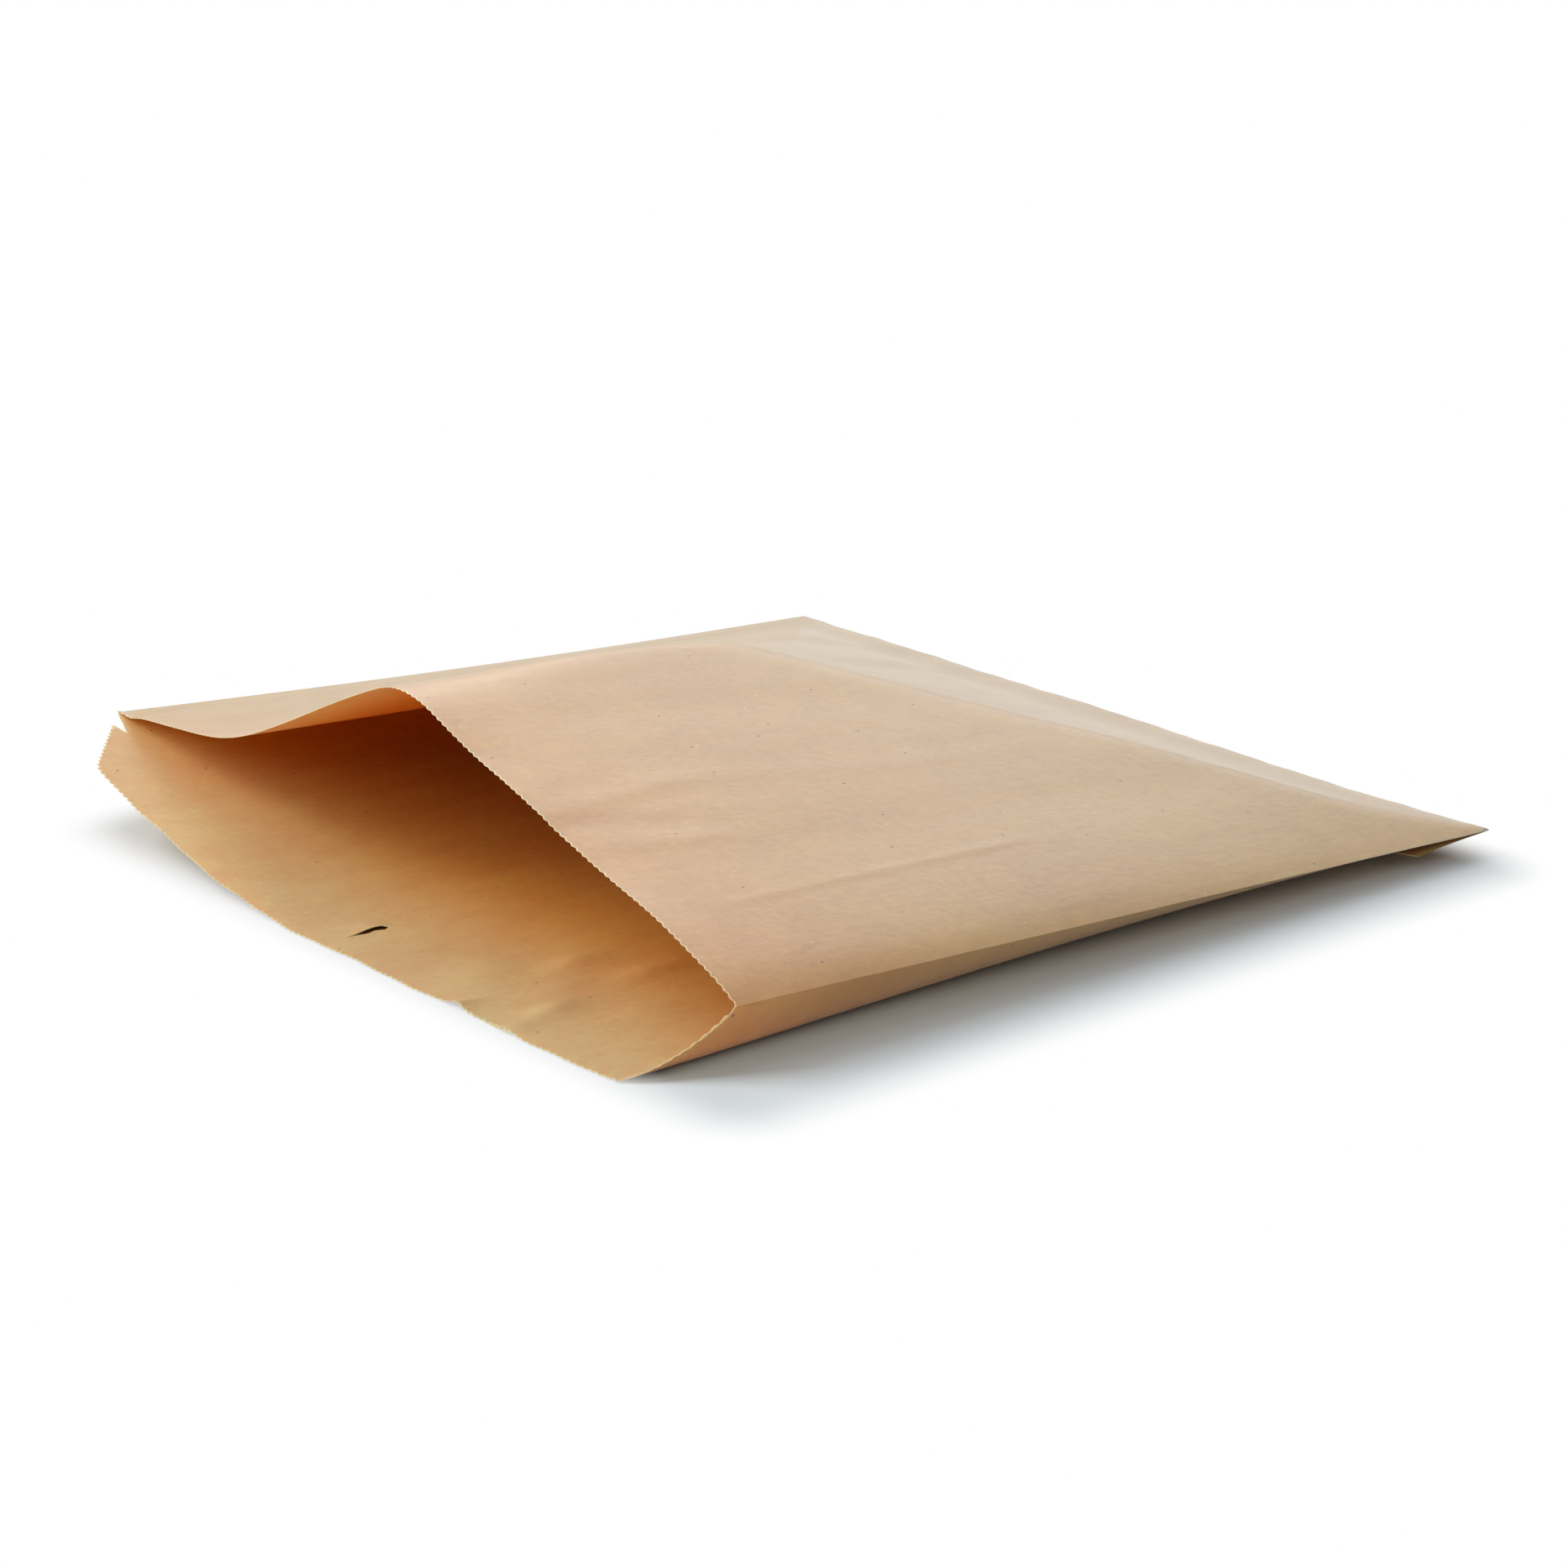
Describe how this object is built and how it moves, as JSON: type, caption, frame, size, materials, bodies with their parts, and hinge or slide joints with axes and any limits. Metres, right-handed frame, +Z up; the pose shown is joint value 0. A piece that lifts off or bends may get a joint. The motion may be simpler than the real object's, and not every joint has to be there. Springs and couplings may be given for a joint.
{
  "type": "flat paper bag",
  "caption": "Flat kraft paper bag lying on its back with a gaping mouth: toothed front edge, longer toothed lip, glued lap down the back, end folded under and glued.",
  "frame": {"origin": "under the middle of the bag, on the table that it lies on", "axes": "+X from the mouth to the closed end, +Y from the near crease to the far crease, +Z up out of the table"},
  "size_m": [0.249, 0.25, 0.0549],
  "materials": {
    "kraft_paper": "uncoated brown kraft paper with a faint machine glaze"
  },
  "bodies": {
    "root": {"paper_bag": "kraft_paper"}
  },
  "joints": []
}
